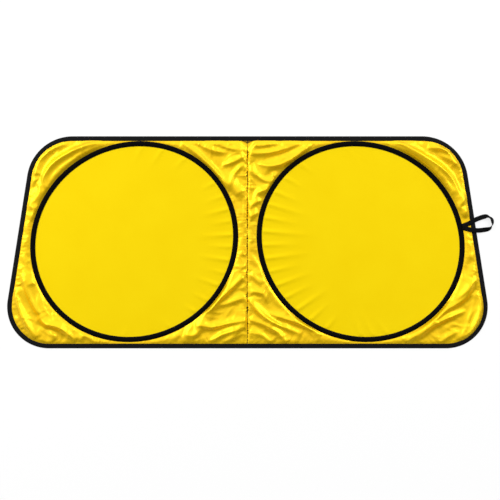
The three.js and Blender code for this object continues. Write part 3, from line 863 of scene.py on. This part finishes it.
def panel_mesh(side):
    """The loose panel's outline, filled with an even net of points."""
    outer = half_outline(edge_tape_width - edge_tape_grip, panel_spacing)
    seam_count = round((outer[-1][1] - outer[0][1]) / panel_spacing)
    seam = np.stack([np.full(seam_count - 1, 0.0),
                     np.linspace(outer[-1][1], outer[0][1], seam_count + 1)[1:-1]], axis=1)
    border = np.concatenate([outer, seam])
    hole_inset = ring_tape_grip - grip_room
    hole = ring_points(hole_inset, round(ring_girth / panel_spacing))
    clear = least_spacing * panel_spacing
    outer_hem = half_outline(edge_tape_width + hem_offset, panel_spacing)[1:-1]
    outer_hem = outer_hem[(ring_depth(outer_hem) < -clear) & (outer_hem[:, 0] > clear)]
    ring_hem = ring_points(-hem_offset, round(ring_girth / panel_spacing))
    ring_hem = ring_hem[(outline_depth(ring_hem) > edge_tape_width + clear) & (ring_hem[:, 0] > clear)]
    columns = np.arange(0, half_bottom_length, panel_spacing)
    rows = np.arange(-half_shade, half_shade, panel_spacing)
    grid = np.stack(np.meshgrid(columns, rows), axis=-1).reshape(-1, 2)
    kept = ((outline_depth(grid) > edge_tape_width + hem_offset + clear)
            & (ring_depth(grid) < -hem_offset - clear) & (grid[:, 0] > clear))
    points = np.concatenate([border, hole, outer_hem, ring_hem, grid[kept]])
    edges = [(i, (i + 1) % len(border)) for i in range(len(border))]
    edges += [(len(border) + i, len(border) + (i + 1) % len(hole)) for i in range(len(hole))]
    found = geometry.delaunay_2d_cdt([Vector(point) for point in points], edges, [], 1, 1e-7)
    places = np.array([tuple(point) for point in found[0]])
    faces = []
    for face in found[2]:
        centre = places[list(face)].mean(axis=0, keepdims=True)
        if ring_depth(centre)[0] < hole_inset:
            faces.append(face)
    return places, faces


def loose_panel(side, folds, seed):
    """The panel as cut, larger than its place, with a shape that draws it in to its seams."""
    mirror = side_sign[side]
    places, faces = panel_mesh(side)
    angle, ring_edge, far_edge, reach = band_shares(places)
    width = np.maximum(far_edge - ring_edge, least_band)
    share = np.clip((reach - ring_edge) / width, 0, 1)
    edge_depth = outline_depth(places) - edge_tape_width
    free = np.minimum(np.minimum(edge_depth, -ring_depth(places)), places[:, 0])
    flat = pressed_flat(side, places)
    loosened = np.clip(free / cut_fade, 0, 1) * (1 - flat)
    rise = fold_height * fold_rise(places, folds, fold_broad, fold_steep) * loosened
    crumple = np.array([noise.noise(Vector((x / crumple_pitch, y / crumple_pitch, seed)))
                        for x, y in places])
    rise += crumple_height * np.maximum(crumple, crumple_lowest) * loosened
    slack = slack_across * width * share
    cut = places + slack[:, None] * np.stack([np.cos(angle), np.sin(angle)], axis=1)
    mesh = bpy.data.meshes.new(f"{side}_surround")
    mesh.from_pydata([(mirror * x, y, fabric_level + z) for (x, y), z in zip(cut, rise)], [], faces)
    panel = add_object(f"{side}_surround", mesh)
    edit_all(panel, bpy.ops.mesh.tris_convert_to_quads, face_threshold=math.radians(60),
             shape_threshold=math.radians(60))
    edit_all(panel, bpy.ops.mesh.normals_make_consistent, inside=False)
    if sum(face.normal.z for face in mesh.polygons) < 0:
        mesh.flip_normals()
    sewn = panel.vertex_groups.new(name="sewn")
    sewn.add([int(i) for i in np.nonzero((free < 2 * hem_offset) | (flat > pinned_from))[0]], 1, "REPLACE")
    gathered = panel.vertex_groups.new(name="gathered")
    for i, distance in enumerate(free):
        gathered.add([i], math.exp(-max(distance, 0) / gathered_reach), "REPLACE")
    panel.shape_key_add(name="as_cut")
    sewn_up = panel.shape_key_add(name="sewn_up")
    for point, (x, y), z in zip(sewn_up.data, places, rise):
        point.co = (mirror * x, y, fabric_level + z)
    for frame_number, value in ((1, 0), (sewing_frames, 1)):
        sewn_up.value = value
        sewn_up.keyframe_insert("value", frame=frame_number)
    return panel


settled_cloth = {
    "quality": 6, "mass": 0.08, "air_damping": 2, "tension_stiffness": 20, "compression_stiffness": 20,
    "shear_stiffness": 8, "bending_stiffness": 5, "vertex_group_mass": "sewn",
    "shrink_min": -slack_all_over, "shrink_max": -slack_gathered, "vertex_group_shrink": "gathered",
}


def settle(panel):
    """Lets the slack cloth come to rest between its seams, and keeps the shape that it takes."""
    pick(panel)
    cloth = add_modifier(panel, "CLOTH")
    for name, value in settled_cloth.items():
        setattr(cloth.settings, name, value)
    cloth.settings.effector_weights.gravity = 0.1
    cloth.collision_settings.use_collision = True
    cloth.collision_settings.distance_min = 0.001
    cloth.collision_settings.collision_quality = 3
    cloth.point_cache.frame_start = 1
    cloth.point_cache.frame_end = settle_frames
    scene.frame_start = 1
    scene.frame_end = settle_frames
    for step in range(1, settle_frames + 1):
        scene.frame_set(step)
    pick(panel)
    bpy.ops.object.convert(target="MESH")


def unevenness(along, seed, row):
    """Smooth noise along a line, in a row of its own."""
    return np.array([noise.noise(Vector((value, seed, row))) for value in along])


def pucker(side, panel, folds, seed):
    """Sharpens the folds of a settled panel and draws it into short puckers along its seams."""
    pick(panel)
    finer = add_modifier(panel, "SUBSURF", levels=1, render_levels=1)
    bpy.ops.object.modifier_apply(modifier=finer.name)
    points = np.empty(len(panel.data.vertices) * 3)
    panel.data.vertices.foreach_get("co", points)
    points = points.reshape(-1, 3)
    mirror = side_sign[side]
    places = points[:, :2] * [mirror, 1]
    apart = places - ring_centre
    around = np.arctan2(apart[:, 1], apart[:, 0]) * (long_axis + short_axis) / 2
    beside_seam = places[:, 0]
    beside_ring = -ring_depth(places)
    beside_edge = outline_depth(places) - edge_tape_width
    free = np.minimum(np.minimum(beside_edge, beside_ring), beside_seam)
    flat = pressed_flat(side, places)
    clear = np.clip(np.minimum(beside_edge, beside_ring) / tape_fade, 0, 1) * (1 - flat)
    loosened = np.clip(free / fold_fade, 0, 1) * (1 - flat)
    rise = fold_kept * fold_height * fold_rise(places, folds, crease_broad, crease_steep) * loosened
    creases = fold_rise(places, crinkles(seed), crinkle_width, crinkle_steep)
    rise += crinkle_height * creases * loosened
    for seam, along, distance in (("seam", places[:, 1], beside_seam), ("ring", around, beside_ring),
                                  ("edge", around, beside_edge)):
        pitch = pucker_pitches[seam]
        drift = unevenness(along * drift_rate, seed, pitch * drift_row)
        size = unevenness(along * size_rate, seed, pitch * size_row)
        wave = np.abs(np.sin(np.pi * along / pitch + pucker_drift * drift))
        strength = np.clip(pucker_share + pucker_spread * size, 0, 1)
        start = np.clip(distance / pucker_start, 0, 1) * clear
        inward = np.maximum(distance, 0)
        rise += pucker_height * wave * strength * start * np.exp(-inward / pucker_lengths[seam])
        if seam == "seam":
            opened = seam_gap_least + wave ** 2 * strength
            points[:, 0] += mirror * (seam_gap * opened * np.exp(-inward / seam_gap_reach))
    points[:, 2] += rise
    panel.data.vertices.foreach_set("co", points.ravel())


satin_light = (0.93, 0.625, 0.003, 1)
satin_deep = (0.90, 0.525, 0.001, 1)
satin_shine = (1, 0.87, 0.42, 1)
satin_cloth = coated_taffeta("loose_yellow_satin", satin_light, satin_deep, satin_shine, 0.30, 0.5, 0.7)
pick(floor)
add_modifier(floor, "COLLISION")
floor.collision.thickness_outer = floor_drop
panels = {}
for side, folds, seed in (("left", left_folds, 0.6), ("right", right_folds, 2.3)):
    panel = loose_panel(side, folds, seed)
    settle(panel)
    scene.frame_set(1)
    panels[side] = panel
pick(floor)
bpy.ops.object.modifier_remove(modifier=floor.modifiers[0].name)
for (side, panel), folds, seed in zip(panels.items(), (left_folds, right_folds), (17, 49)):
    pucker(side, panel, folds, seed)
    finish_sheet(panel, satin_cloth)
    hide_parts(f"{side}_surround_panel")

# Centre seam: both loose panels are sewn to one black tape under it, on which the shade folds
# shut. A row of dark brown stitches shows along the join. At its top end, dark brown bar tacks
# narrow downwards in a wedge that is partly real tacks and partly painted shade under the top tape.
thread_radius = 0.0005
seam_stitch = {"level": 0.0018, "pitch": 0.0075, "share": 0.55}
# Bar tacks: rows of dark brown stitches, shorter towards the bottom. They are real tacks and also paint
# the shade of the notch under the top tape.
tack_and_shade_stitch = {"level": 0.0036, "pitch": 0.0024, "share": 0.9}
tack_and_shade_reaches = (0.017, 0.014, 0.011, 0.008, 0.0055, 0.0035)
tack_and_shade_inset = 0.0008
tack_and_shade_spacing = 0.0011
seam_tape = bpy.data.objects["centre_seam_tape"]
seam_tape_cloth = woven_tape("seam_tape_weave", black_tape, grey_thread, 0.75, 0.025)
edit_all(seam_tape, bpy.ops.uv.cube_project, cube_size=1, scale_to_bounds=False)
seam_tape.data.uv_layers[0].name = "strip"
dress(seam_tape, seam_tape_cloth)


def twisted_thread(name, dark, light):
    """Polyester sewing thread: a soft shine with fine slanting plies."""
    thread = finish_named(name)
    place = thread.node("ShaderNodeTexCoord", output="Object")
    plies = threads(thread, place, "DIAGONAL", 700)
    set_shader(thread, Base_Color=thread.mix(plies, dark, light), Roughness=0.55,
               Specular_IOR_Level=0.2)
    emboss(thread, 0.3, 0.0001, plies)
    return thread.owner


def stitch_row(name, points, thread, slot_name, level, pitch, share, cyclic=False):
    """One row of stitches: a single short, rounded stitch, repeated and laid along a line."""
    route = line_curve(f"{name}_line", [(x, y, 0) for x, y in points], cyclic)
    route.data.dimensions = "3D"
    route.data.twist_mode = "Z_UP"
    length = route.data.splines[0].calc_length()
    count = round(length / pitch)
    apart = length / count
    clear_selection()
    bpy.ops.mesh.primitive_cylinder_add(vertices=6, radius=thread_radius, depth=apart * share,
                                        rotation=(0, math.pi / 2, 0), location=(apart / 2, 0, level))
    stitches = bpy.context.object
    stitches.name = name
    bpy.ops.object.transform_apply(location=True, rotation=True)
    add_modifier(stitches, "BEVEL", width=thread_radius * 0.6, segments=1)
    add_modifier(stitches, "ARRAY", use_relative_offset=False, use_constant_offset=True,
                 constant_offset_displace=(apart, 0, 0), count=count)
    add_modifier(stitches, "CURVE", object=route)
    for modifier in list(stitches.modifiers):
        bpy.ops.object.modifier_apply(modifier=modifier.name)
    bpy.data.objects.remove(route)
    dress(stitches, thread)
    bpy.ops.object.shade_smooth_by_angle(angle=math.radians(60))
    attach(stitches, "root")


brown_thread = twisted_thread("dark_brown_thread", (0.06, 0.03, 0.002, 1), (0.14, 0.07, 0.004, 1))
black_thread = twisted_thread("black_thread", (0.002, 0.002, 0.002, 1), (0.02, 0.02, 0.022, 1))
stitch_row("seam_stitches", [-seam_top, seam_top], brown_thread, "edge_tape", **seam_stitch)
# Each row of bar tacks is shorter than the one above it, forming a dark brown wedge that partly paints
# shade.
for row, reach in enumerate(tack_and_shade_reaches):
    across = seam_top[1] - tack_and_shade_inset - row * tack_and_shade_spacing
    stitch_row(f"seam_tack_{row + 1}", [(-reach, across), (reach, across)], brown_thread, "edge_tape",
               **tack_and_shade_stitch)

# Stitching of the tapes: one row of black lockstitches just inside each open edge, over the
# fabric that the tape grips.
tape_stitch_inset = 0.0017
ring_stitch = {"level": lip_top + 0.0004, "pitch": 0.0042, "share": 0.7}
edge_stitch = {"level": edge_top + 0.0001, "pitch": 0.0042, "share": 0.7}
for side, mirror in side_sign.items():
    for part, inset in (("outer", tape_stitch_inset), ("inner", ring_tape_width - tape_stitch_inset)):
        line = ring_points(inset, 360) * [mirror, 1]
        stitch_row(f"{side}_ring_{part}_stitches", line, black_thread, "ring_tape", **ring_stitch,
                   cyclic=True)
right_line = half_outline(edge_tape_width - tape_stitch_inset, 0.006)
left_line = right_line[-2:0:-1] * [-1, 1]
stitch_row("edge_stitches", np.concatenate([right_line, left_line]), black_thread, "edge_tape",
           **edge_stitch, cyclic=True)

# Storage loop: one flat woven elastic strap. Both ends are stacked and sewn onto the right ring's
# tape; the strap runs out over the edge tape and turns over on itself at the tip.
loop_width = 0.0148
loop_thickness = 0.0011
loop_reach = 0.098
loop_spread = 0.038
loop_angle = math.radians(10.1)
loop_ring_overlap = 0.0015
loop_ring_ramp = 0.008
loop_step_width = 0.005
loop_step_margin = 0.002
loop_drop_width = 0.026
loop_drop_margin = 0.003
loop_stack_start = 0.7
loop_stack_share = 0.15
cloth_top = 0.0015
strap_gap = 0.0003
loop_stops = [
    (0, 0.05, 0), (0.24, 0.31, 0), (0.4, 0.56, 4), (0.68, 0.83, 12), (0.86, 0.8, 64),
    (0.95, 0.56, 42), (0.96, 0.36, 48), (0.94, 0.11, 76), (0.86, -0.14, 40), (0.7, -0.24, 10),
    (0.48, -0.29, 0), (0.25, -0.23, 0), (0, -0.05, 0),
]


def ease(value):
    value = min(max(value, 0), 1)
    return value * value * (3 - 2 * value)


def strap_level(x, y):
    """Level that carries the strap: the ring tape, the fabric, the edge tape, then the floor."""
    place = np.array([[x, y]])
    depth = float(outline_depth(place)[0])
    on_ring = ease(1 + float(ring_depth(place)[0]) / loop_ring_ramp)
    on_tape = ease((edge_tape_width + loop_step_margin + loop_step_width - depth) / loop_step_width)
    past = ease((-depth - loop_drop_margin) / loop_drop_width)
    beside_ring = cloth_top + (ring_top - cloth_top) * on_ring
    inside = beside_ring + (edge_top - beside_ring) * on_tape
    return inside * (1 - past) + strap_gap


root_turn = loop_angle + ring_tilt
root_along = (long_axis - loop_ring_overlap) * math.cos(root_turn)
root_across = (short_axis - loop_ring_overlap) * math.sin(root_turn)
loop_root = (ring_middle.x + root_along * math.cos(ring_tilt) + root_across * math.sin(ring_tilt),
             ring_middle.y - root_along * math.sin(ring_tilt) + root_across * math.cos(ring_tilt))
stops_mm = [((loop_root[0] + out * loop_reach) * 1000, (loop_root[1] + side * loop_spread) * 1000, roll)
            for out, side, roll in loop_stops]
strap_steps = 160
strap_line = []
for step, (x, y, roll) in enumerate(through_stops(stops_mm, strap_steps)):
    x, y, roll = x / 1000, y / 1000, math.radians(roll)
    reach_up = loop_width / 2 * math.sin(roll) + loop_thickness / 2 * math.cos(roll)
    stacked = ease((step / strap_steps - loop_stack_start) / loop_stack_share)
    stacked *= loop_thickness + strap_gap
    strap_line.append(((x, y, strap_level(x, y) + reach_up + stacked), roll))
strap_route = line_curve("strap_route", [place for place, _ in strap_line], False)
for point, (_, roll) in zip(strap_route.data.splines[0].points, strap_line):
    point.tilt = -roll
strap_route.data.use_fill_caps = True
half_strap = loop_width / 2
half_thick = loop_thickness / 2
round_off = loop_thickness * 0.3
strap_points = [
    (-half_strap, -half_thick + round_off), (-half_strap + round_off, -half_thick),
    (-half_strap / 2, -half_thick), (0, -half_thick), (half_strap / 2, -half_thick),
    (half_strap - round_off, -half_thick), (half_strap, -half_thick + round_off),
]
strap_points += [(-x, -z) for x, z in strap_points]
strap_cloth = woven_tape("woven_elastic", (0.001, 0.001, 0.0012, 1), (0.005, 0.005, 0.0055, 1), 0.6, 0.04)
strap = sweep_strip(strap_route, strip_section("strap_section", strap_points), "storage_strap",
                    strap_cloth)
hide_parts("storage_loop")
